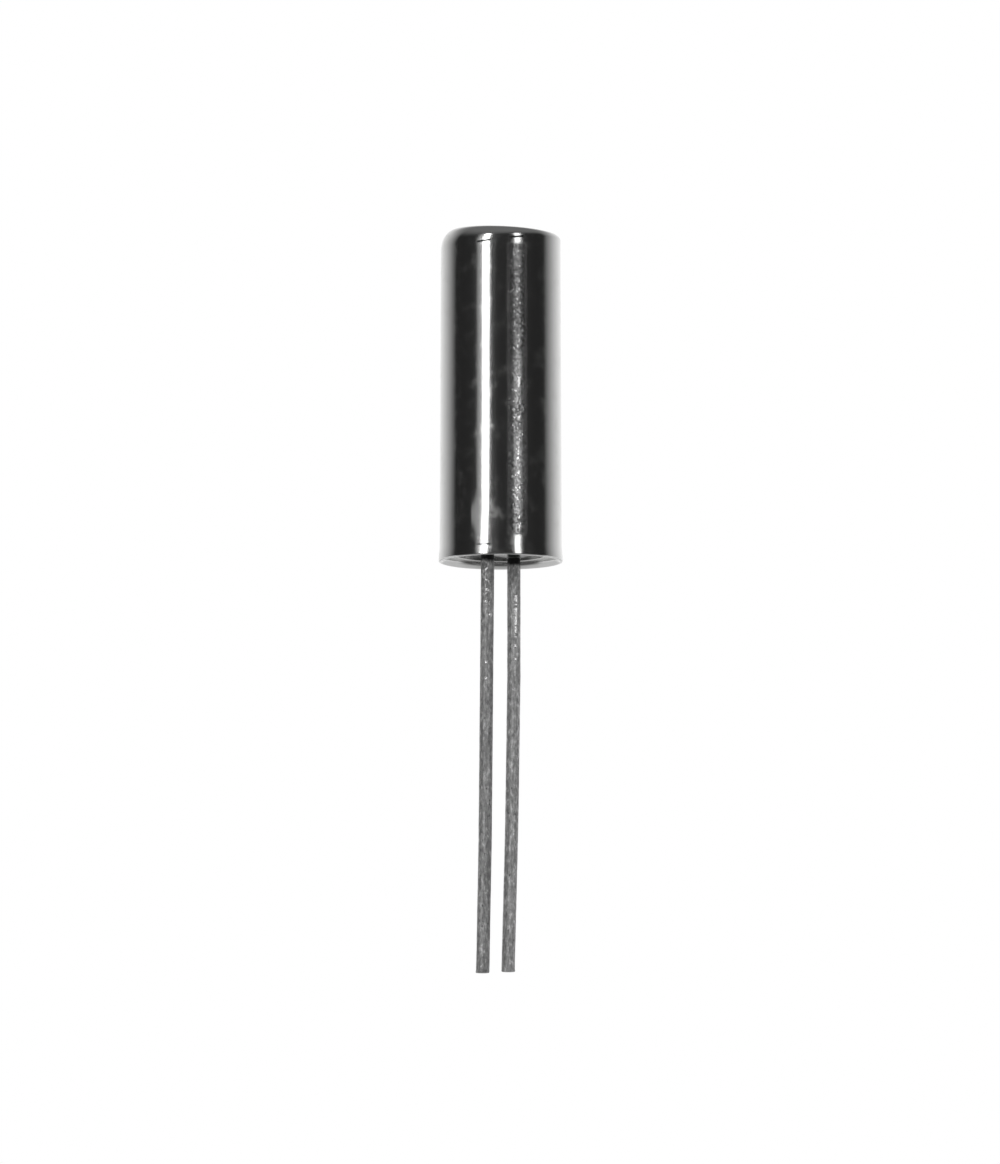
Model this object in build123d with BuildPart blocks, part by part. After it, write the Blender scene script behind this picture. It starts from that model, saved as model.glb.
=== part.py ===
# A tuning-fork quartz crystal in a drawn metal can, with two wire leads.
#
# Millimetres. +Z runs up the can's axis. The origin is on that axis, in the plane of the
# can's open rim, and the leads hang below it on either side of the YZ plane.
from build123d import *
from math import cos, radians, sin
import os

os.makedirs("parts", exist_ok=True)

# Can: one drawn cup, open at the bottom
can_diameter = 3.1
can_height = 8.4
can_wall = 0.15
can_corner_radius = 0.3
rim_edge_radius = 0.03

# Header: a metal ring pressed into the can, with glass fused inside it
header_recess = 0.15
header_height = 1.5
header_wall = 0.3
header_edge = 0.05
glass_dip = 0.03
meniscus_reach = 0.11
meniscus_drop = 0.05

# Leads: round wire through the glass, ground half away where the fork lies on them
lead_diameter = 0.33
lead_spacing = 1.1
lead_inside = 1.25
lead_tip_edge = 0.02
flat_relief = 0.05
bend_length = 0.6
lean_heading = 127

# Depths below the rim where each lead starts its two slight bends, and its leans after them
left_lead_length = 10.48
left_first_bend = 0.1
left_first_lean = 0.5
left_second_bend = 6.9
left_second_lean = 1.05
right_lead_length = 10.37
right_first_bend = 2.6
right_first_lean = 0.8
right_second_bend = 6.2
right_second_lean = 1.45

# Quartz fork, its metal films and the solder that holds it
fork_gap_below = 0.35
fork_gap_above = 0.45
fork_base_length = 2.1
fork_thickness = 0.25
fork_overlap = 0.07
fork_slot = 0.2
film_thickness = 0.015
film_margin = 0.12
film_strip = 0.24
film_trace = 0.2
film_gap = 0.1
pad_width = 0.42
pad_height = 1.0
solder_cover = 0.08

# Places that follow from the sizes above
can_radius = can_diameter / 2
bore_radius = can_radius - can_wall
glass_radius = bore_radius - header_wall
lead_radius = lead_diameter / 2
header_top = header_recess + header_height
glass_floor = header_recess + glass_dip
lead_top = header_top + lead_inside
fork_bottom = header_top + fork_gap_below
fork_top = can_height - can_wall - fork_gap_above
fork_length = fork_top - fork_bottom
fork_width = lead_spacing + 2 * fork_overlap
tine_width = (fork_width - fork_slot) / 2
fork_middle = film_thickness + fork_thickness / 2
lead_places = [(-lead_spacing / 2, 0), (lead_spacing / 2, 0)]


def finish(piece, name):
    """Name a finished piece and write it under that name."""
    piece.part.label = name
    export_step(piece.part, f"parts/{name}.step")


# The can: a cup with a rounded crown and softened rim edges
with BuildPart() as can:
    with BuildSketch():
        Circle(can_radius)
    extrude(amount=can_height)
    fillet(can.edges().sort_by(Axis.Z)[-1], can_corner_radius)
    with BuildSketch():
        Circle(bore_radius)
    extrude(amount=can_height - can_wall, mode=Mode.SUBTRACT)
    inner_corner = can.edges().filter_by_position(Axis.Z, can_height - can_wall, can_height - can_wall)
    fillet(inner_corner, can_corner_radius - can_wall)
    fillet(can.edges().filter_by_position(Axis.Z, 0, 0), rim_edge_radius)
finish(can, "can")

# The header's ring, pressed into the can's bore; its leading edge is chamfered to start the press
with BuildPart() as header_ring:
    with BuildSketch(Plane.XY.offset(header_recess)):
        Circle(bore_radius)
        Circle(glass_radius, mode=Mode.SUBTRACT)
    extrude(amount=header_height)
    chamfer(header_ring.edges().group_by(Axis.Z)[-1].sort_by(SortBy.LENGTH)[-1], header_edge)
finish(header_ring, "header_ring")

# The glass: it fills the ring, dips a little below, and climbs each lead in a small meniscus
with BuildPart() as glass_seal:
    with BuildSketch(Plane.XY.offset(glass_floor)):
        Circle(glass_radius)
    extrude(amount=header_top - glass_floor)
    for x, y in lead_places:
        with BuildSketch(Plane.XZ):
            with BuildLine():
                foot = (x + lead_radius + meniscus_reach, glass_floor)
                tip = (x + lead_radius, glass_floor - meniscus_drop)
                root = (x, glass_floor - meniscus_drop)
                top = (x, glass_floor)
                TangentArc(foot, tip, tangent=(-1, 0))
                Polyline(tip, root, top, foot)
            make_face()
        revolve(axis=Axis((x, y, 0), (0, 0, 1)))
    with BuildSketch(Plane.XY):
        with Locations(*lead_places):
            Circle(lead_radius)
    extrude(amount=header_top, mode=Mode.SUBTRACT)
finish(glass_seal, "glass_seal")


def wire_direction(lean):
    """The way a lead runs when it leans this many degrees off straight down."""
    tilt, heading = radians(lean), radians(lean_heading)
    return Vector(sin(tilt) * cos(heading), sin(tilt) * sin(heading), -cos(tilt))


def wire_side(lean):
    """The side towards which a lead with this lean bends further."""
    tilt, heading = radians(lean), radians(lean_heading)
    return Vector(cos(tilt) * cos(heading), cos(tilt) * sin(heading), sin(tilt))


def make_lead(x, first_bend, first_lean, second_bend, second_lean, length):
    """One lead: straight through the glass, two slight bends, and a straight end cut square."""
    with BuildPart() as lead:
        lean = 0
        place = Vector(x, 0, lead_top)
        with BuildSketch(Plane(place, z_dir=wire_direction(lean))):
            Circle(lead_radius)
        extrude(amount=lead_top + first_bend)
        place += wire_direction(lean) * (lead_top + first_bend)
        for next_lean, run_end in ((first_lean, second_bend), (second_lean, length)):
            turn = next_lean - lean
            bend_radius = bend_length / radians(turn)
            centre = place + wire_side(lean) * bend_radius
            with BuildSketch(Plane(place, z_dir=wire_direction(lean))):
                Circle(lead_radius)
            revolve(axis=Axis(centre, wire_direction(lean).cross(wire_side(lean))), revolution_arc=turn)
            place = centre - wire_side(next_lean) * bend_radius
            lean = next_lean
            run = (run_end + place.Z) / cos(radians(lean))
            with BuildSketch(Plane(place, z_dir=wire_direction(lean))):
                Circle(lead_radius)
            extrude(amount=run)
            place += wire_direction(lean) * run
        fillet(lead.edges().sort_by(Axis.Z)[0], lead_tip_edge)
        with Locations((x, 0, lead_top)):
            Box(
                lead_diameter,
                lead_radius,
                lead_top - fork_bottom + flat_relief,
                align=(Align.CENTER, Align.MIN, Align.MAX),
                mode=Mode.SUBTRACT,
            )
    return lead


lead_left = make_lead(
    -lead_spacing / 2,
    left_first_bend,
    left_first_lean,
    left_second_bend,
    left_second_lean,
    left_lead_length,
)
finish(lead_left, "lead_left")

lead_right = make_lead(
    lead_spacing / 2,
    right_first_bend,
    right_first_lean,
    right_second_bend,
    right_second_lean,
    right_lead_length,
)
finish(lead_right, "lead_right")

# The quartz fork: a base that lies on the leads' flats, and two tines with a round-bottomed slot
with BuildPart() as tuning_fork:
    with BuildSketch(Plane((0, fork_middle, fork_bottom), x_dir=(1, 0, 0), z_dir=(0, -1, 0))):
        Rectangle(fork_width, fork_length, align=(Align.CENTER, Align.MIN))
        with Locations((0, fork_base_length)):
            Rectangle(
                fork_slot, fork_length - fork_base_length, align=(Align.CENTER, Align.MIN), mode=Mode.SUBTRACT
            )
            Circle(fork_slot / 2, mode=Mode.SUBTRACT)
    extrude(amount=fork_thickness / 2, both=True)
finish(tuning_fork, "tuning_fork")


def make_electrode(across):
    """One metal film, seen with +X to the right for across = 1 and to the left for -1.

    Its pad wraps the base's left edge. From there it runs up the left tine's outer side, and
    crosses the front above both pads to a strip on the right tine.
    """
    half_width = fork_width / 2
    half_depth = fork_thickness / 2
    film_top = fork_length - film_margin
    low_left = (Align.MIN, Align.MIN, Align.MIN)
    with BuildPart(Plane((0, fork_middle, fork_bottom), x_dir=(across, 0, 0), z_dir=(0, 0, 1))) as film:
        with Locations((-half_width - film_thickness, -half_depth, film_margin)):
            Box(film_thickness, fork_thickness, film_top - film_margin, align=low_left)
        pad_depth = fork_thickness + 2 * film_thickness
        with Locations((-half_width - film_thickness, -half_depth - film_thickness, film_margin)):
            Box(pad_width, pad_depth, pad_height, align=low_left)
        with Locations((-half_width, -half_depth, 0)):
            Box(fork_width, fork_thickness, fork_length, align=low_left, mode=Mode.SUBTRACT)
        strip_left = half_width - tine_width / 2 - film_strip / 2
        strip_right = strip_left + film_strip
        trace_left = -half_width - film_thickness
        trace_bottom = film_margin + pad_height + film_gap
        with Locations((trace_left, -half_depth - film_thickness, trace_bottom)):
            Box(strip_right - trace_left, film_thickness, film_trace, align=low_left)
        with Locations((strip_left, -half_depth - film_thickness, trace_bottom)):
            Box(film_strip, film_thickness, film_top - trace_bottom, align=low_left)
    return film


electrode_left = make_electrode(1)
finish(electrode_left, "electrode_left")

electrode_right = make_electrode(-1)
finish(electrode_right, "electrode_right")


def make_solder(x):
    """The solder round the half-round end of one lead, up against the film on the fork's base."""
    with BuildPart() as solder:
        with BuildSketch(Plane.XY.offset(fork_bottom + film_margin)):
            with Locations((x, 0)):
                Circle(lead_radius + solder_cover)
                Circle(lead_radius, mode=Mode.SUBTRACT)
                Rectangle(
                    2 * (lead_radius + solder_cover),
                    lead_radius + solder_cover,
                    align=(Align.CENTER, Align.MIN),
                    mode=Mode.SUBTRACT,
                )
        extrude(amount=lead_top - fork_bottom - film_margin)
    return solder


solder_left = make_solder(-lead_spacing / 2)
finish(solder_left, "solder_left")

solder_right = make_solder(lead_spacing / 2)
finish(solder_right, "solder_right")
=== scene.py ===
from math import atan2, cos, degrees, exp, pi, radians, sin, sqrt, tan

import bmesh
import bpy
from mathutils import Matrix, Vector, noise


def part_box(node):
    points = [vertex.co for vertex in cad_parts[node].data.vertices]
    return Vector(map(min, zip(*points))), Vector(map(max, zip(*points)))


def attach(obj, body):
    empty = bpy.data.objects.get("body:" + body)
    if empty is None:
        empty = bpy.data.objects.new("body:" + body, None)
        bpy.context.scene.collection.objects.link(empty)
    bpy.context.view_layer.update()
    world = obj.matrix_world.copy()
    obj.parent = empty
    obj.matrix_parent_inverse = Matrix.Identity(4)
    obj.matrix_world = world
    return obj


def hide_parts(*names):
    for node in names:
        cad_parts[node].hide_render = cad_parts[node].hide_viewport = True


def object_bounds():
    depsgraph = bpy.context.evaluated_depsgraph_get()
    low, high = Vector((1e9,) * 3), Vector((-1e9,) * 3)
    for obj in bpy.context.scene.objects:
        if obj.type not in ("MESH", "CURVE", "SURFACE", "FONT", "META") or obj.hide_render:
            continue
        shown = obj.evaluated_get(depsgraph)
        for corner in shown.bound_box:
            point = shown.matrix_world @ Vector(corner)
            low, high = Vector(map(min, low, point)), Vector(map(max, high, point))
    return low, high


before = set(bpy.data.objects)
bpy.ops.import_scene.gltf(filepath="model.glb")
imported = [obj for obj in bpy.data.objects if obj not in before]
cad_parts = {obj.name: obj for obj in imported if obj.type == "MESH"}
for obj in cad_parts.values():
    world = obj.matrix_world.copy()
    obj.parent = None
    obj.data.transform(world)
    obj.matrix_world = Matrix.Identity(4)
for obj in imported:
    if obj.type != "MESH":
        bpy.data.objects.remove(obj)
cad_low, cad_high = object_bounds()
bpy.context.scene.view_settings.view_transform = "Standard"

# Shapes are in metres. Places inside a material are in millimetres, as its shader measures them.
MM = 0.001

# The view: turned about the can's axis from the row of leads, and from a little below
VIEW_AZIMUTH = -52.7
VIEW_ELEVATION = -7.2
VIEW_DISTANCE = 300 * MM
VIEW_TARGET_Z = -0.51 * MM
VIEW_SHIFT = -0.018 * MM
FRAME_HEIGHT = 29.47 * MM
SENSOR = 36.0

# Crown: its corner is larger on the left than on the right, and its top falls to the right
CORNER_RADIUS = 0.33 * MM
CORNER_CHANGE = 0.19 * MM
CORNER_REACH = 0.25 * MM
REACH_CHANGE = 0.08 * MM
CROWN_LIFT = 0.015 * MM
CROWN_TILT = 0.06 * MM

# Wall: it draws in towards the top, flares at the rim, and has the slow waves of a drawn can
CAN_DRAFT = 0.03 * MM
RIM_EDGE = 0.03 * MM
RIM_FLARE = 0.028 * MM
RIM_FLARE_TOP = 0.45 * MM
WAVE_DEPTH = 0.0016 * MM
WAVES_ROUND = 2.1
WAVES_UP = 0.55 / MM

# A flat that deepens towards the rim, and over it a dent with a steep left side, in degrees round to
# the right from the view
FLAT_AZIMUTH = -7
FLAT_DEPTH = 0.013 * MM
FLAT_WIDTH = 0.3 * MM
FLAT_TOP = 1.7 * MM
DENT_START = -30
DENT_FLOOR_START = -20
DENT_FLOOR_END = -8
DENT_END = 9
DENT_HEIGHT = 1.04 * MM
DENT_HALF_LENGTH = 0.66 * MM
DENT_DEPTH = 0.018 * MM

# Mouth: a bevel inside the rim, with a narrow edge where it starts
MOUTH_BEVEL_RISE = 0.085 * MM
MOUTH_BEVEL_REACH = 0.1 * MM
MOUTH_EDGE_REACH = 0.01 * MM
MOUTH_EDGE_RISE = 0.002 * MM

# How finely the can and the header are cut
CAN_SEGMENTS = 240
CROWN_ROWS = 12
CORNER_ROWS = 12
WALL_ROWS = 180
BEVEL_ROWS = 3
INNER_CORNER_ROWS = 6
EDGE_ROWS = 4
HEADER_SEGMENTS = 192

# Marks in the can's material, in millimetres: a scuffed band, in degrees to the right of the view,
# and two short painted dark lines beside the highlights, standing in for a crease's dark reflection
SCUFF_AZIMUTH = 16
SCUFF_HALF_WIDTH = 0.16
SCUFF_SIDE_FADE = 0.14
SCUFF_LOW = 0.5
SCUFF_HIGH = 7.95
SCUFF_END_FADE = 0.05
CROWN_LINE_HEIGHT = 8.064
CROWN_LINE_SLOPE = 0.12
RIM_LINE_HEIGHT = 0.27
LINE_PLACE = 0.42
LINE_HALF_LENGTH = 0.12
LINE_END_FADE = 0.1

# Header
RING_EDGE = 0.02 * MM
MENISCUS_REACH = 0.11 * MM
MENISCUS_DROP = 0.05 * MM
MENISCUS_ROWS = 8
MENISCUS_SEGMENTS = 64

# Leads
LEAD_SEGMENTS = 48
LEAD_ROW_LENGTH = 0.035 * MM
TIP_EDGE = 0.022 * MM
TIP_ROWS = 5
BURR_REACH = 0.014 * MM
BURR_RISE = 0.05 * MM
BURR_AZIMUTH = 80
COATING = 0.003 * MM
STREAK_DEPTH = 0.0022 * MM
LUMP_DEPTH = 0.0028 * MM
GRIT_DEPTH = 0.0012 * MM
COATING_FULL_DEPTH = 0.1 * MM

# Places on the leads that are glossier and painted near white as highlights, as height above the rim and
# distance to the right of the can's axis, in millimetres
RIGHT_LINE_ACROSS = 0.372
RIGHT_LINE_HEIGHT = -1.35
RIGHT_LINE_HALF_LENGTH = 0.53
RIGHT_FLECKS = [(-2.1, 0.372), (-2.44, 0.372)]
LEFT_LINES_ACROSS = -0.355
LEFT_LINES_HEIGHT = -0.6
LEFT_LINES_HALF_LENGTH = 0.4
LEFT_FLECKS = [(-0.77, -0.35), (-1.08, -0.37), (-1.41, -0.26), (-2.62, -0.36), (-3.03, -0.37)]

# Studio: brightness seen in reflections behind the object, in front of it and overhead, and the even
# light on its surfaces. Starts and ends are shares of the way round to the back, or up.
MIRRORED_BACK = 1.0
MIRRORED_FRONT = 0.018
MIRRORED_CEILING = 0.16
BACK_TURN = -2.5
BACK_START = 0.066
CEILING_START = 0.45
CEILING_END = 0.88
EVEN_LIGHT = 0.34
LAMP_DISTANCE = 300 * MM
FLOOR_RADIUS = 2500 * MM
FLOOR_GAP = 2 * MM
FLOOR_SEGMENTS = 96
FLOOR_LIFT = 0.2
FLOOR_FADE_START = 30.0
FLOOR_FADE_END = 160.0
FLOOR_FRONT_FADE = 12.0


def direction(azimuth, elevation=0.0):
    """The way from the object to something seen at this azimuth and elevation from it."""
    a, e = radians(azimuth), radians(elevation)
    return Vector((sin(a) * cos(e), -cos(a) * cos(e), sin(e)))


TO_VIEWER = direction(VIEW_AZIMUTH)
TO_RIGHT = direction(VIEW_AZIMUTH + 90)
UP = (0.0, 0.0, 1.0)

can_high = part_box("can")[1]
ring_low, ring_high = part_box("header_ring")
glass_low, glass_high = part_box("glass_seal")
fork_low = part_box("tuning_fork")[0]
CAN_RADIUS = can_high.x
CAN_TOP = can_high.z
BORE_RADIUS = ring_high.x
GLASS_RADIUS = glass_high.x
CAN_WALL = CAN_RADIUS - BORE_RADIUS
GLASS_FLOOR = glass_low.z + MENISCUS_DROP


def smooth(value, low, high):
    """0 below low, 1 above high, and a smooth step between."""
    t = min(1.0, max(0.0, (value - low) / (high - low)))
    return t * t * (3 - 2 * t)


def bell(distance, width):
    """1 at no distance, falling off smoothly over the width."""
    return exp(-((distance / width) ** 2))


def quarter(rows, first=0):
    """The angles of a quarter turn in equal steps, up to the right angle."""
    return [pi / 2 * i / rows for i in range(first, rows + 1)]


# ---------------------------------------------------------------- shader helpers


class Nodes:
    """A node tree, with one short call for each kind of node that is used here."""

    def __init__(self, tree):
        self.tree = tree

    def node(self, kind):
        return self.tree.nodes.new(kind)

    def put(self, socket, value):
        """Link an output to the socket, or write a plain value in it."""
        if isinstance(value, bpy.types.NodeSocket):
            self.tree.links.new(value, socket)
        else:
            socket.default_value = value

    def vector(self, operation, a, b=None, scale=None):
        node = self.node("ShaderNodeVectorMath")
        node.operation = operation
        self.put(node.inputs[0], a)
        if b is not None:
            self.put(node.inputs[1], b)
        if scale is not None:
            node.inputs["Scale"].default_value = scale
        return node.outputs["Value" if operation in ("DOT_PRODUCT", "LENGTH") else "Vector"]

    def math(self, operation, a, b=0.0, c=0.0, clamp=False):
        node = self.node("ShaderNodeMath")
        node.operation = operation
        node.use_clamp = clamp
        for socket, value in zip(node.inputs, (a, b, c)):
            self.put(socket, value)
        return node.outputs[0]

    def product(self, first, *others):
        for value in others:
            first = self.math("MULTIPLY", first, value)
        return first

    def scale_add(self, value, scale, base, clamp=False):
        """The value times a scale, added to a base."""
        return self.math("MULTIPLY_ADD", value, scale, base, clamp)

    def ramp(self, value, low, high, to_low=0.0, to_high=1.0, interpolation="LINEAR"):
        """The value's place between low and high, as a place between to_low and to_high."""
        node = self.node("ShaderNodeMapRange")
        node.interpolation_type = interpolation
        self.put(node.inputs["Value"], value)
        node.inputs["From Min"].default_value = low
        node.inputs["From Max"].default_value = high
        node.inputs["To Min"].default_value = to_low
        node.inputs["To Max"].default_value = to_high
        return node.outputs["Result"]

    def step(self, value, low, high, to_low=0.0, to_high=1.0):
        """A smooth step of the value from low to high."""
        return self.ramp(value, low, high, to_low, to_high, "SMOOTHSTEP")

    def near(self, value, middle, half, fade):
        """1 where the value is within `half` of the middle, and 0 from `fade` further on."""
        distance = self.math("ABSOLUTE", self.math("SUBTRACT", value, middle))
        return self.step(distance, half + fade, half)

    def mix(self, share, low, high):
        """A number from low to high by a share of 0 to 1."""
        node = self.node("ShaderNodeMix")
        self.put(node.inputs["Factor"], share)
        self.put(node.inputs["A"], low)
        self.put(node.inputs["B"], high)
        return node.outputs["Result"]

    def blend(self, share, low, high):
        """A colour from low to high by a share of 0 to 1."""
        node = self.node("ShaderNodeMix")
        node.data_type = "RGBA"
        self.put(node.inputs["Factor"], share)
        self.put(node.inputs[6], low)
        self.put(node.inputs[7], high)
        return node.outputs[2]


class Shader(Nodes):
    """A material's nodes.

    Places are in millimetres from the object's origin: the middle of the can's rim, for every piece.
    """

    def __init__(self, name):
        self.material = bpy.data.materials.new(name)
        self.material.use_nodes = True
        super().__init__(self.material.node_tree)
        self.surface = self.tree.nodes["Principled BSDF"]
        place = self.node("ShaderNodeTexCoord").outputs["Object"]
        self.place = self.vector("SCALE", place, scale=1 / MM)

    def height(self):
        """Height above the origin."""
        return self.along(UP)

    def along(self, way):
        """Distance along a direction."""
        return self.vector("DOT_PRODUCT", self.place, tuple(way))

    def shifted(self, stretch, shift):
        """The place, with its axes scaled by `stretch`, moved to another part of a texture."""
        place = self.vector("MULTIPLY", self.place, stretch)
        return self.vector("ADD", place, (shift, shift * 0.7, shift * 1.3))

    def grain(self, scale, stretch=(1.0, 1.0, 1.0), detail=3.0, roughness=0.55, shift=0.0):
        """Noise of about `scale` features a millimetre."""
        node = self.node("ShaderNodeTexNoise")
        self.put(node.inputs["Vector"], self.shifted(stretch, shift))
        node.inputs["Scale"].default_value = scale
        node.inputs["Detail"].default_value = detail
        node.inputs["Roughness"].default_value = roughness
        return node.outputs["Fac"]

    def pits(self, scale, stretch=(1.0, 1.0, 1.0), shift=0.0):
        """Distance from scattered points, for pits and specks."""
        node = self.node("ShaderNodeTexVoronoi")
        self.put(node.inputs["Vector"], self.shifted(stretch, shift))
        node.inputs["Scale"].default_value = scale
        return node.outputs["Distance"]

    def bump(self, height, distance, normal=None):
        """Relief of `distance` millimetres from a height of 0 to 1."""
        node = self.node("ShaderNodeBump")
        node.inputs["Distance"].default_value = distance * MM
        self.put(node.inputs["Height"], height)
        if normal is not None:
            self.put(node.inputs["Normal"], normal)
        return node.outputs["Normal"]

    def set(self, **values):
        """Set the surface's inputs, each named with _ for a space."""
        for name, value in values.items():
            self.put(self.surface.inputs[name.replace("_", " ")], value)
        return self.material


def grey(level):
    return (level, level, level, 1.0)


# ---------------------------------------------------------------- materials


def can_front(s):
    """1 on the can's near side, and 0 on its far side."""
    return s.step(s.along(TO_VIEWER), 0.0, 0.5)


def scuff_share(s):
    """1 in the scuffed band down the can's right front, and 0 outside it."""
    across = s.along(direction(VIEW_AZIMUTH + SCUFF_AZIMUTH + 90))
    band = s.near(across, 0.0, SCUFF_HALF_WIDTH, SCUFF_SIDE_FADE)
    above = s.step(s.height(), SCUFF_LOW - SCUFF_END_FADE, SCUFF_LOW + SCUFF_END_FADE)
    below = s.step(s.height(), SCUFF_HIGH + SCUFF_END_FADE, SCUFF_HIGH - SCUFF_END_FADE)
    return s.product(band, can_front(s), above, below)


def scuff_tint(s):
    """The scuffed metal's mottled greys, with glints, darker towards the crown."""
    patch = s.grain(2.2, (1.0, 1.0, 0.6), detail=2.0, shift=11.0)
    mottle = s.grain(15.0, (1.0, 1.0, 0.8), detail=4.0, roughness=0.7, shift=13.0)
    glints = s.grain(13.0, (1.0, 1.0, 0.7), detail=1.0, shift=17.0)
    tint = s.blend(s.step(patch, 0.4, 0.6), grey(0.08), grey(0.2))
    tint = s.blend(s.step(mottle, 0.4, 0.6), tint, grey(0.38))
    tint = s.blend(s.step(glints, 0.62, 0.7), tint, grey(0.76))
    return s.blend(s.step(s.height(), 2.8, 6.5, 1.0, 0.45), grey(0.06), tint)


def painted_highlight_breaks(s):
    """1 on two short painted dark lines that split the highlights, in place of a crease's dark reflection,
    and 0 elsewhere.

    One follows the foot of the crown's corner, which rises to the right. The other lies just above
    the rim, on the left only.
    """
    right = s.along(TO_RIGHT)
    level = s.scale_add(right, -CROWN_LINE_SLOPE, s.height())
    crown_line = s.near(level, CROWN_LINE_HEIGHT, 0.018, 0.012)
    rim_line = s.near(s.height(), RIM_LINE_HEIGHT, 0.01, 0.012)
    rim_line = s.product(rim_line, s.step(right, -0.2, -0.3))
    beside = s.near(s.math("ABSOLUTE", right), LINE_PLACE, LINE_HALF_LENGTH, LINE_END_FADE)
    return s.product(s.math("MAXIMUM", crown_line, rim_line), beside, can_front(s))


def can_metal():
    """Bright plated can: draw lines, faint smudges, specks of dust, a scuffed band and two short painted dark
    lines that break the highlights.
    """
    s = Shader("can_metal")
    lines = s.grain(26.0, (1.0, 1.0, 0.035), detail=4.0)
    cloud = s.grain(2.6, detail=5.0, roughness=0.62, shift=3.0)
    fine = s.grain(22.0, (1.0, 1.0, 0.6), detail=5.0, roughness=0.7, shift=7.0)
    worn = scuff_share(s)
    smudge = s.step(cloud, 0.48, 0.72)
    dust = s.product(s.step(s.pits(5.0, shift=2.0), 0.09, 0.05), 0.5)
    tint = s.blend(smudge, (0.76, 0.76, 0.755, 1.0), (0.73, 0.73, 0.72, 1.0))
    tint = s.blend(worn, tint, scuff_tint(s))
    tint = s.blend(dust, tint, grey(0.4))
    # Painted shade: two short dark lines across the highlights, where a crease would reflect the dark studio.
    tint = s.blend(painted_highlight_breaks(s), tint, grey(0.04))
    roughness = s.scale_add(lines, 0.05, 0.125)
    roughness = s.scale_add(smudge, 0.09, roughness)
    roughness = s.scale_add(worn, 0.03, roughness)
    relief = s.bump(lines, 0.0004)
    relief = s.bump(s.product(fine, worn), 0.0012, relief)
    metallic = s.scale_add(worn, -0.2, 1.0)
    return s.set(Base_Color=tint, Metallic=metallic, Roughness=roughness, Normal=relief)


def header_metal():
    """Plated header ring, a little duller than the can."""
    s = Shader("header_metal")
    cloud = s.grain(5.0, detail=4.0)
    fine = s.grain(30.0, detail=3.0, shift=5.0)
    tint = s.blend(cloud, grey(0.7), (0.56, 0.56, 0.54, 1.0))
    roughness = s.scale_add(cloud, 0.2, 0.14)
    return s.set(Base_Color=tint, Metallic=1.0, Roughness=roughness, Normal=s.bump(fine, 0.002))


def seal_glass():
    """Dark sealing glass with a glossy, faintly dimpled surface."""
    s = Shader("seal_glass")
    cloud = s.grain(4.0, detail=3.0)
    bubbles = s.step(s.pits(9.0), 0.12, 0.2)
    tint = s.blend(cloud, (0.012, 0.014, 0.013, 1.0), (0.05, 0.055, 0.05, 1.0))
    relief = s.bump(bubbles, 0.002, s.bump(cloud, 0.008))
    roughness = s.scale_add(cloud, 0.12, 0.05)
    return s.set(Base_Color=tint, Roughness=roughness, IOR=1.52, Normal=relief)


def with_flecks(s, marks, flecks):
    """The marks, with a fleck of painted highlight added at each place."""
    for height, across in flecks:
        row = s.near(s.height(), height, 0.025, 0.03)
        fleck = s.product(row, s.near(s.along(TO_RIGHT), across, 0.025, 0.03))
        marks = s.math("MAXIMUM", marks, fleck)
    return marks


def right_glossy_highlight_marks(s):
    """A dotted line of painted highlight on the right front of the right lead, high up, and flecks below it.
    """
    dots = s.step(s.grain(10.0, (0.2, 0.2, 1.0), detail=1.0, shift=1.5), 0.38, 0.46)
    line = s.near(s.along(TO_RIGHT), RIGHT_LINE_ACROSS, 0.046, 0.018)
    span = s.near(s.height(), RIGHT_LINE_HEIGHT, RIGHT_LINE_HALF_LENGTH, 0.05)
    return with_flecks(s, s.product(dots, line, span), RIGHT_FLECKS)


def left_glossy_highlight_marks(s):
    """Thin wandering lines of painted highlight just under the can on the left lead, with flecks from there
    down.
    """
    lines = s.near(s.grain(4.5, (1.0, 1.0, 0.32), detail=1.0, shift=4.5), 0.5, 0.012, 0.023)
    side = s.near(s.along(TO_RIGHT), LEFT_LINES_ACROSS, 0.07, 0.04)
    span = s.near(s.height(), LEFT_LINES_HEIGHT, LEFT_LINES_HALF_LENGTH, 0.3)
    return with_flecks(s, s.product(lines, side, 0.7, span), LEFT_FLECKS)


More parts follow.
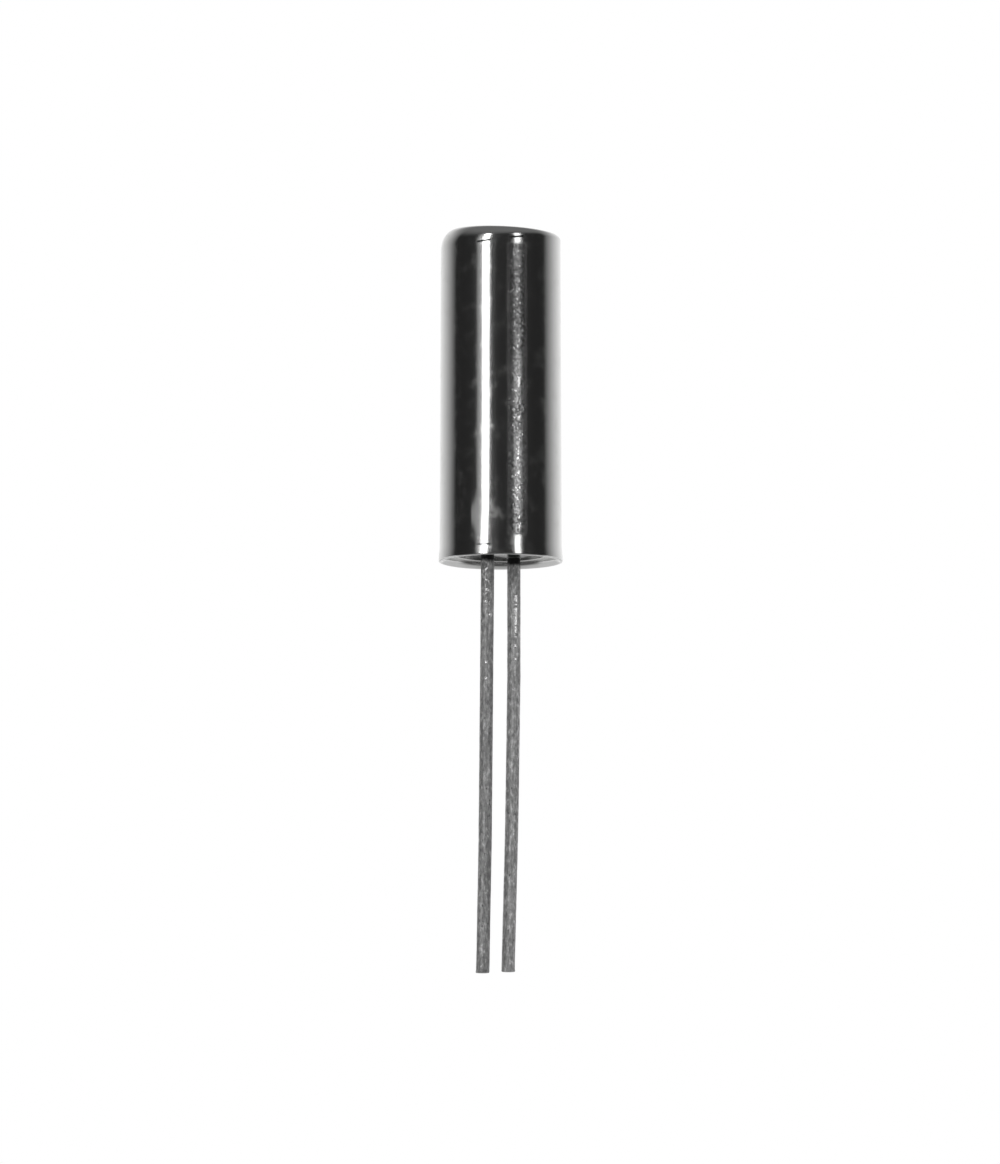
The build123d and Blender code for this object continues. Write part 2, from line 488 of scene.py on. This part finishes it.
def lead_metal(name, shift, tone, highlight_way):
    """Dull solder-coated wire: drawn streaks, mottling, pits, bright specks and a dark root.

    `tone` scales its greys, and the last argument gives where the coat is glossier and painted near white as
    a highlight.
    """
    s = Shader(name)
    streaks = s.grain(16.0, (1.0, 1.0, 0.05), detail=4.0, roughness=0.6, shift=shift)
    blotch = s.grain(5.0, (1.0, 1.0, 0.3), detail=4.0, roughness=0.6, shift=shift + 3)
    speck = s.step(s.grain(24.0, (1.0, 1.0, 0.45), detail=2.0, shift=shift + 6), 0.62, 0.74)
    mottle = s.grain(15.0, (1.0, 1.0, 0.4), detail=3.0, roughness=0.65, shift=shift + 9)
    pit = s.step(s.pits(7.0, (1.0, 1.0, 0.6), shift), 0.16, 0.06)
    root = s.step(s.scale_add(blotch, 0.16, s.height()), 0.0, 0.1)
    gloss_and_painted_highlight = highlight_way(s)
    tint = s.blend(s.step(streaks, 0.3, 0.7), grey(0.2 * tone), grey(0.36 * tone))
    tint = s.blend(s.product(s.step(blotch, 0.42, 0.7), 0.5), tint, grey(0.17 * tone))
    tint = s.blend(s.step(mottle, 0.55, 0.3), tint, grey(0.15 * tone))
    tint = s.blend(s.step(mottle, 0.52, 0.74), tint, grey(0.54 * tone))
    tint = s.blend(s.product(pit, 0.7), tint, grey(0.08))
    tint = s.blend(s.product(speck, 0.6), tint, grey(0.7))
    tint = s.blend(root, tint, grey(0.02))
    # Painted highlight: near white where the lamps' highlights fall, on marks that are also made glossier and
    # raised below.
    tint = s.blend(gloss_and_painted_highlight, tint, grey(0.95))
    roughness = s.scale_add(streaks, 0.2, 0.42)
    roughness = s.scale_add(speck, -0.2, roughness)
    roughness = s.scale_add(gloss_and_painted_highlight, -0.38, roughness, clamp=True)
    relief = s.bump(streaks, 0.006)
    relief = s.bump(blotch, 0.012, relief)
    relief = s.bump(pit, -0.01, relief)
    relief = s.bump(mottle, 0.008, relief)
    relief = s.bump(gloss_and_painted_highlight, 0.02, relief)
    return s.set(Base_Color=tint, Metallic=0.45, Roughness=roughness, Normal=relief)


def plain_metal(name, dark, light, roughness):
    """Metal with a slightly uneven colour and polish."""
    s = Shader(name)
    cloud = s.grain(6.0, detail=4.0)
    fine = s.grain(40.0, detail=2.0, shift=4.0)
    tint = s.blend(cloud, dark, light)
    roughness = s.scale_add(cloud, 0.15, roughness)
    return s.set(Base_Color=tint, Metallic=1.0, Roughness=roughness, Normal=s.bump(fine, 0.002))


def gold(name):
    return plain_metal(name, (0.85, 0.62, 0.25, 1.0), (0.95, 0.75, 0.36, 1.0), 0.12)


def solder(name):
    return plain_metal(name, grey(0.42), grey(0.62), 0.25)


def quartz():
    """Clear quartz with a lapped, faintly frosted surface."""
    s = Shader("quartz")
    cloud = s.grain(8.0, detail=3.0)
    tint = s.blend(cloud, (0.9, 0.94, 0.95, 1.0), (0.98, 0.99, 1.0, 1.0))
    roughness = s.scale_add(cloud, 0.1, 0.05)
    relief = s.bump(cloud, 0.001)
    return s.set(Base_Color=tint, Roughness=roughness, IOR=1.54, Transmission_Weight=0.85, Normal=relief)


# ---------------------------------------------------------------- mesh helpers


def finish_piece(bm, name, material, slot, *nodes):
    """Turn a bmesh into a smooth-shaded piece that rides on the body and replaces CAD nodes."""
    bmesh.ops.recalc_face_normals(bm, faces=bm.faces)
    mesh = bpy.data.meshes.new(name)
    bm.to_mesh(mesh)
    bm.free()
    mesh.materials.append(material)
    mesh.shade_smooth()
    piece = bpy.data.objects.new(name, mesh)
    bpy.context.collection.objects.link(piece)
    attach(piece, "root")
    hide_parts(*nodes)
    return piece


def ring_of(bm, points):
    return [bm.verts.new(p) for p in points]


def ring_edges(bm, ring):
    return [bm.edges.get((ring[i], ring[(i + 1) % len(ring)])) for i in range(len(ring))]


def bridge(bm, low, high):
    """Quads between two rings of the same count."""
    count = len(low)
    for i in range(count):
        j = (i + 1) % count
        bm.faces.new((low[i], low[j], high[j], high[i]))


def cap(bm, ring, point):
    """A fan from a ring to one middle point."""
    middle = bm.verts.new(point)
    for i in range(len(ring)):
        bm.faces.new((ring[i], ring[(i + 1) % len(ring)], middle))


def circle(radius, z, count, centre=(0.0, 0.0)):
    turns = [2 * pi * i / count for i in range(count)]
    return [Vector((centre[0] + radius * cos(t), centre[1] + radius * sin(t), z)) for t in turns]


# ---------------------------------------------------------------- can


def corner_radius(way):
    """The height of the crown's corner on this side."""
    return CORNER_RADIUS - CORNER_CHANGE * way.dot(TO_RIGHT)


def corner_reach(way):
    """The width of the crown's corner on this side."""
    return CORNER_REACH - REACH_CHANGE * way.dot(TO_RIGHT)


def crown_top(way, share=1.0):
    """The crown's height on this side, at a share of the way out to its corner."""
    return CAN_TOP + CROWN_LIFT - CROWN_TILT * way.dot(TO_RIGHT) * share


def dent_share(way, z):
    """How deep the dent is here, as a share of its full depth."""
    turn = degrees(atan2(way.dot(TO_RIGHT), way.dot(TO_VIEWER)))
    along = (z - DENT_HEIGHT) / DENT_HALF_LENGTH
    if abs(along) >= 1 or not DENT_START < turn < DENT_END:
        return 0.0
    depth = (1 - along * along) ** 1.5
    if turn < DENT_FLOOR_START:
        left = (DENT_FLOOR_START - turn) / (DENT_FLOOR_START - DENT_START)
        return depth * (1 - left * left)
    return depth * (1 - smooth(turn, DENT_FLOOR_END, DENT_END))


def can_inset(way, z):
    """How far the can's skin lies inside a true cylinder, on this side at this height."""
    inset = CAN_DRAFT * z / CAN_TOP
    aside = CAN_RADIUS * (way - direction(VIEW_AZIMUTH + FLAT_AZIMUTH)).length
    inset += FLAT_DEPTH * bell(aside, FLAT_WIDTH) * smooth(-z, -FLAT_TOP, 0.0)
    inset += DENT_DEPTH * dent_share(way, z)
    inset -= RIM_FLARE * smooth(-z, -RIM_FLARE_TOP, 0.0)
    wave = noise.noise(Vector((way.x * WAVES_ROUND, way.y * WAVES_ROUND, z * WAVES_UP)))
    return inset + WAVE_DEPTH * (1 + wave)


def can_column(way):
    """The can's section on one side, from the middle of its crown down to the middle inside."""
    height, width, top = corner_radius(way), corner_reach(way), crown_top(way)
    foot = top - height
    flat = CAN_RADIUS - CAN_DRAFT - width
    points = []
    for i in range(1, CROWN_ROWS + 1):
        share = i / (CROWN_ROWS + 1)
        points.append((flat * share, crown_top(way, share)))
    for turn in quarter(CORNER_ROWS):
        z = foot + height * cos(turn)
        points.append((flat + (width - can_inset(way, z) + CAN_DRAFT) * sin(turn), z))
    for i in range(1, WALL_ROWS + 1):
        z = RIM_EDGE + (foot - RIM_EDGE) * (1 - i / WALL_ROWS)
        points.append((CAN_RADIUS - can_inset(way, z), z))
    rim_radius = CAN_RADIUS - can_inset(way, RIM_EDGE)
    for turn in quarter(EDGE_ROWS, 1):
        points.append((rim_radius - RIM_EDGE * (1 - cos(turn)), RIM_EDGE * (1 - sin(turn))))
    points.append((BORE_RADIUS + MOUTH_BEVEL_REACH + MOUTH_EDGE_REACH, 0.0))
    for i in range(BEVEL_ROWS + 1):
        share = i / BEVEL_ROWS
        z = MOUTH_EDGE_RISE + MOUTH_BEVEL_RISE * share
        points.append((BORE_RADIUS + MOUTH_BEVEL_REACH * (1 - share), z))
    points.append((BORE_RADIUS, ring_low.z))
    points.append((BORE_RADIUS, ring_high.z))
    inner_top = CAN_TOP - CAN_WALL - CROWN_TILT
    inner_radius = BORE_RADIUS - CAN_DRAFT
    for turn in quarter(INNER_CORNER_ROWS):
        reach = inner_radius - CORNER_RADIUS * (1 - cos(turn))
        points.append((reach, inner_top - CORNER_RADIUS * (1 - sin(turn))))
    return points


def make_can():
    bm = bmesh.new()
    ways = [direction(360 * i / CAN_SEGMENTS) for i in range(CAN_SEGMENTS)]
    rings = []
    for row in zip(*[can_column(way) for way in ways]):
        points = [Vector((way.x * reach, way.y * reach, z)) for way, (reach, z) in zip(ways, row)]
        rings.append(ring_of(bm, points))
    for low, high in zip(rings, rings[1:]):
        bridge(bm, low, high)
    cap(bm, rings[0], Vector((0, 0, CAN_TOP + CROWN_LIFT)))
    cap(bm, rings[-1], Vector((0, 0, CAN_TOP - CAN_WALL - CROWN_TILT)))
    return finish_piece(bm, "can_shell", can_metal(), "can_metal", "can")


# ---------------------------------------------------------------- header


def make_header_ring():
    section = [(GLASS_RADIUS, ring_high.z)]
    for turn in quarter(EDGE_ROWS):
        section.append((GLASS_RADIUS + RING_EDGE * (1 - cos(turn)), ring_low.z + RING_EDGE * (1 - sin(turn))))
    for turn in quarter(EDGE_ROWS):
        section.append((BORE_RADIUS - RING_EDGE * (1 - sin(turn)), ring_low.z + RING_EDGE * (1 - cos(turn))))
    section.append((BORE_RADIUS, ring_high.z - 2 * RING_EDGE))
    section.append((BORE_RADIUS - 2 * RING_EDGE, ring_high.z))
    bm = bmesh.new()
    rings = [ring_of(bm, circle(reach, z, HEADER_SEGMENTS)) for reach, z in section]
    for low, high in zip(rings, rings[1:] + rings[:1]):
        bridge(bm, low, high)
    return finish_piece(bm, "header_ring_plated", header_metal(), "header_metal", "header_ring")


def make_glass():
    """The glass, with its sides and a meniscus round each lead, and flat faces between them."""
    lead_radius = lead_radius_of("lead_left")
    bm = bmesh.new()
    low = ring_of(bm, circle(GLASS_RADIUS, GLASS_FLOOR, HEADER_SEGMENTS))
    high = ring_of(bm, circle(GLASS_RADIUS, glass_high.z, HEADER_SEGMENTS))
    bridge(bm, low, high)
    floor_edges, top_edges = ring_edges(bm, low), ring_edges(bm, high)
    for node in ("lead_left", "lead_right"):
        centre = lead_centreline(node)[0].xy
        rings = []
        for i in range(MENISCUS_ROWS + 1):
            share = i / MENISCUS_ROWS
            reach = lead_radius + MENISCUS_REACH * (1 - share)
            z = GLASS_FLOOR - MENISCUS_DROP * (1 - sqrt(1 - share * share))
            rings.append(ring_of(bm, circle(reach, z, MENISCUS_SEGMENTS, centre)))
        rings.append(ring_of(bm, circle(lead_radius, glass_high.z, MENISCUS_SEGMENTS, centre)))
        for a, b in zip(rings, rings[1:]):
            bridge(bm, a, b)
        floor_edges += ring_edges(bm, rings[0])
        top_edges += ring_edges(bm, rings[-1])
    bmesh.ops.triangle_fill(bm, edges=floor_edges, use_beauty=True)
    bmesh.ops.triangle_fill(bm, edges=top_edges, use_beauty=True)
    return finish_piece(bm, "glass_bead", seal_glass(), "seal_glass", "glass_seal")


# ---------------------------------------------------------------- leads


def lead_radius_of(node):
    """Half the wire's width, from the half-round end inside the can."""
    xs = [v.co.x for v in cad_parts[node].data.vertices if v.co.z > fork_low.z]
    return (max(xs) - min(xs)) / 2


def lead_centreline(node):
    """Middles of the CAD lead's rings of corners below its flat, from the top down."""
    low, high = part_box(node)
    below_flat, ring_depth = fork_low.z - 0.1 * MM, 0.02 * MM
    corners = [v.co.copy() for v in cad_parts[node].data.vertices if v.co.z < below_flat]
    groups = []
    for c in sorted(corners, key=lambda c: -c.z):
        if groups and groups[-1][-1].z - c.z < ring_depth:
            groups[-1].append(c)
        else:
            groups.append([c])
    middles = []
    for group in groups:
        xs, ys = [c.x for c in group], [c.y for c in group]
        z = sum(c.z for c in group) / len(group)
        middles.append(Vector(((min(xs) + max(xs)) / 2, (min(ys) + max(ys)) / 2, z)))
    top = Vector((middles[0].x, middles[0].y, high.z))
    tip = Vector((middles[-1].x, middles[-1].y, low.z))
    return [top] + middles[:-1] + [tip]


def point_at(line, z):
    """Where a centreline passes a height."""
    for a, b in zip(line, line[1:]):
        if b.z <= z <= a.z:
            return a.lerp(b, (a.z - z) / (a.z - b.z))
    return line[-1]


def coating_depth(way, z, seed):
    """How thick the uneven solder coat is here: streaks along the wire, soft lumps and fine grit."""
    z = z / MM
    streak = noise.noise(Vector((way.x * 3.2 + seed, way.y * 3.2, z * 0.5)))
    lump = noise.noise(Vector((way.x * 1.3, way.y * 1.3 + seed, z * 2.6)))
    grit = noise.noise(Vector((way.x * 4.5, way.y * 4.5 - seed, z * 11.0)))
    return STREAK_DEPTH * streak + LUMP_DEPTH * lump + GRIT_DEPTH * grit + COATING


def make_lead(node, material, seed, burr_azimuth):
    """A coated wire along the CAD lead's middle, half round where the fork lies on it.

    The coat grows from nothing at the glass to its full depth just below the rim, and a burr stands
    on one side of the tip.
    """
    low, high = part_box(node)
    line = lead_centreline(node)
    radius = lead_radius_of(node)
    burr_way = direction(burr_azimuth)
    length = high.z - low.z
    row_count = int(length / LEAD_ROW_LENGTH)
    heights = [high.z - (length - TIP_EDGE) * i / row_count for i in range(row_count + 1)]
    edge_share = TIP_EDGE / radius
    ways = [direction(360 * i / LEAD_SEGMENTS) for i in range(LEAD_SEGMENTS)]
    bm = bmesh.new()
    rings = []

    def add_ring(z, shrink, half_round=False):
        middle = point_at(line, z)
        points = []
        for way in ways:
            coat = coating_depth(way, z, seed) * smooth(-z, -glass_low.z, COATING_FULL_DEPTH)
            burr = BURR_REACH * bell(z - low.z, BURR_RISE) * smooth(way.dot(burr_way), 0.2, 1.0)
            point = middle + way * (radius + coat + burr) * shrink
            if half_round:
                point.y = min(point.y, 0.0)
            points.append(point)
        rings.append(ring_of(bm, points))

    for z in heights:
        add_ring(z, 1.0, half_round=z > fork_low.z)
    for turn in quarter(TIP_ROWS, 1):
        add_ring(heights[-1] - TIP_EDGE * sin(turn), 1 - edge_share * (1 - cos(turn)))
    for share in (0.75, 0.5, 0.25):
        add_ring(low.z, (1 - edge_share) * share)
    for a, b in zip(rings, rings[1:]):
        bridge(bm, a, b)
    cap(bm, rings[0], line[0] - Vector((0, radius / 2, 0)))
    cap(bm, rings[-1], point_at(line, low.z))
    return finish_piece(bm, node + "_wire", material, "lead_wire", node)


# ---------------------------------------------------------------- studio


def add_camera():
    data = bpy.data.cameras.new("camera")
    data.sensor_width = SENSOR
    data.lens = SENSOR * VIEW_DISTANCE / FRAME_HEIGHT
    data.clip_start = 10 * MM
    data.clip_end = 20.0
    camera = bpy.data.objects.new("camera", data)
    back = direction(VIEW_AZIMUTH, VIEW_ELEVATION)
    target = Vector((0, 0, VIEW_TARGET_Z)) + TO_RIGHT * VIEW_SHIFT
    camera.location = target + back * VIEW_DISTANCE
    camera.rotation_mode = "QUATERNION"
    camera.rotation_quaternion = (-back).to_track_quat("-Z", "Y")
    bpy.context.collection.objects.link(camera)
    bpy.context.scene.camera = camera


def add_panel(name, azimuth, elevation, width, height, radiance, mirrored=True):
    """A rectangular lamp that faces the object, placed in degrees to the right of the view and up.

    Its size is in degrees as the object sees it. If it isn't mirrored, reflections don't show it.
    """
    data = bpy.data.lights.new(name, "AREA")
    data.shape = "RECTANGLE"
    data.size = 2 * LAMP_DISTANCE * tan(radians(width / 2))
    data.size_y = 2 * LAMP_DISTANCE * tan(radians(height / 2))
    data.energy = radiance * pi * data.size * data.size_y
    lamp = bpy.data.objects.new(name, data)
    back = direction(VIEW_AZIMUTH + azimuth, elevation)
    lamp.location = back * LAMP_DISTANCE
    lamp.rotation_mode = "QUATERNION"
    lamp.rotation_quaternion = back.to_track_quat("Z", "Y")
    lamp.visible_camera = False
    lamp.visible_glossy = mirrored
    bpy.context.collection.objects.link(lamp)


def add_world():
    """White to the eye all round, and an even grey for the light on surfaces.

    In reflections it is white behind the object, nearly dark in front of it and grey overhead.
    """
    world = bpy.data.worlds.new("studio")
    bpy.context.scene.world = world
    world.use_nodes = True
    s = Nodes(world.node_tree)
    path = s.node("ShaderNodeLightPath")
    place = s.node("ShaderNodeTexCoord").outputs["Generated"]
    behind = s.vector("DOT_PRODUCT", place, direction(VIEW_AZIMUTH + 180 + BACK_TURN))
    mirrored = s.ramp(behind, BACK_START, 1.0, MIRRORED_FRONT, MIRRORED_BACK)
    overhead = s.step(s.vector("DOT_PRODUCT", place, UP), CEILING_START, CEILING_END)
    mirrored = s.mix(overhead, mirrored, MIRRORED_CEILING)
    strength = s.mix(path.outputs["Is Glossy Ray"], EVEN_LIGHT, mirrored)
    seen = s.math("MAXIMUM", path.outputs["Is Camera Ray"], path.outputs["Is Transmission Ray"])
    background = s.tree.nodes["Background"]
    s.put(background.inputs["Color"], grey(1.0))
    s.put(background.inputs["Strength"], s.mix(seen, strength, 1.0))


def floor_surface():
    """Pale matt floor: clear from below, white far from the object, and dark in front in reflections."""
    s = Shader("floor")
    path, geometry = s.node("ShaderNodeLightPath"), s.node("ShaderNodeNewGeometry")
    in_front = s.step(s.along(TO_VIEWER), -FLOOR_FRONT_FADE, FLOOR_FRONT_FADE)
    dimmed = s.product(path.outputs["Is Glossy Ray"], in_front)
    seen = s.math("MAXIMUM", path.outputs["Is Camera Ray"], path.outputs["Is Glossy Ray"])
    seen = s.math("SUBTRACT", seen, dimmed)
    pale = s.blend(s.grain(0.05, detail=2.0), grey(0.86), grey(0.9))
    s.set(Base_Color=s.blend(dimmed, pale, grey(0.14)), Roughness=0.8)
    lift = s.node("ShaderNodeEmission")
    s.put(lift.inputs["Strength"], s.product(seen, FLOOR_LIFT))
    lifted = s.node("ShaderNodeAddShader")
    s.put(lifted.inputs[0], s.surface.outputs[0])
    s.put(lifted.inputs[1], lift.outputs[0])
    far = s.step(s.vector("LENGTH", s.place), FLOOR_FADE_START, FLOOR_FADE_END)
    faded = s.node("ShaderNodeMixShader")
    s.put(faded.inputs[0], s.product(far, seen))
    s.put(faded.inputs[1], lifted.outputs[0])
    s.put(faded.inputs[2], s.node("ShaderNodeEmission").outputs[0])
    one_sided = s.node("ShaderNodeMixShader")
    s.put(one_sided.inputs[0], geometry.outputs["Backfacing"])
    s.put(one_sided.inputs[1], faded.outputs[0])
    s.put(one_sided.inputs[2], s.node("ShaderNodeBsdfTransparent").outputs[0])
    s.put(s.tree.nodes["Material Output"].inputs["Surface"], one_sided.outputs[0])
    return s.material


def add_floor():
    """A round floor a little under the lead tips."""
    bm = bmesh.new()
    bm.faces.new(ring_of(bm, circle(FLOOR_RADIUS, 0.0, FLOOR_SEGMENTS)))
    mesh = bpy.data.meshes.new("floor")
    bm.to_mesh(mesh)
    bm.free()
    mesh.materials.append(floor_surface())
    floor = bpy.data.objects.new("floor", mesh)
    floor.location.z = cad_low.z - FLOOR_GAP
    bpy.context.collection.objects.link(floor)


# ---------------------------------------------------------------- the scene

add_camera()
make_can()
make_header_ring()
make_glass()
left_coat = lead_metal("lead_left_coat", shift=1.0, tone=1.4, highlight_way=left_glossy_highlight_marks)
right_coat = lead_metal("lead_right_coat", shift=21.0, tone=1.85, highlight_way=right_glossy_highlight_marks)
make_lead("lead_left", left_coat, seed=2.0, burr_azimuth=VIEW_AZIMUTH - BURR_AZIMUTH)
make_lead("lead_right", right_coat, seed=9.0, burr_azimuth=VIEW_AZIMUTH + BURR_AZIMUTH)

inner = {
    "tuning_fork": quartz(),
    "electrode_left": gold("gold_left"),
    "electrode_right": gold("gold_right"),
    "solder_left": solder("solder_left_coat"),
    "solder_right": solder("solder_right_coat"),
}
for node, material in inner.items():
    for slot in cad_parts[node].material_slots:
        slot.material = material

add_panel("strip_left", azimuth=-28.5, elevation=13, width=10.5, height=50, radiance=4.5)
add_panel("strip_left_soft", azimuth=-40, elevation=13, width=11, height=50, radiance=0.25)
add_panel("strip_right", azimuth=32.3, elevation=13, width=11, height=50, radiance=1.9)
add_panel("fill_front", azimuth=-4, elevation=8, width=50, height=50, radiance=0.5, mirrored=False)
add_panel("fill_back", azimuth=176, elevation=30, width=50, height=50, radiance=0.2, mirrored=False)
add_world()
add_floor()
